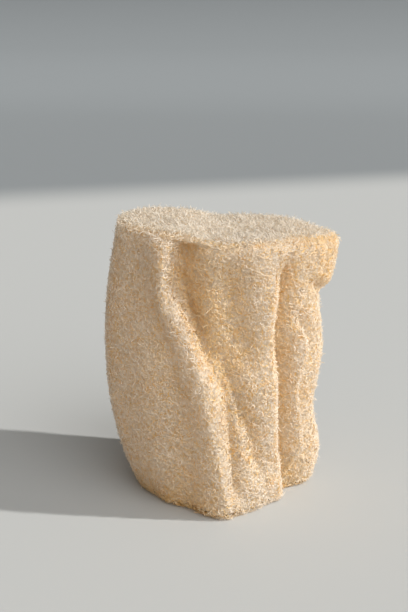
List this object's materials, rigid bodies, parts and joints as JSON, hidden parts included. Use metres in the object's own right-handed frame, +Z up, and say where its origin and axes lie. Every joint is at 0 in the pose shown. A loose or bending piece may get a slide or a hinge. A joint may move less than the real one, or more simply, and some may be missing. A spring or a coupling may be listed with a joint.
{
  "type": "natural loofah sponge",
  "caption": "Upright cut length of natural loofah sponge: a squashed, creased fibrous trunk with flat cut ends, its whole surface a raised net.",
  "frame": {"origin": "middle of the outline, at the height of the lower cut face that the sponge stands on", "axes": "+Z up along the sponge's length, +X to the right and -Y towards the camera in the picture's view"},
  "size_m": [0.1094, 0.0936, 0.1314],
  "materials": {
    "loofah_fibre": "dry matt plant fibre"
  },
  "bodies": {
    "root": {"loofah_sponge": "loofah_fibre"}
  },
  "joints": []
}
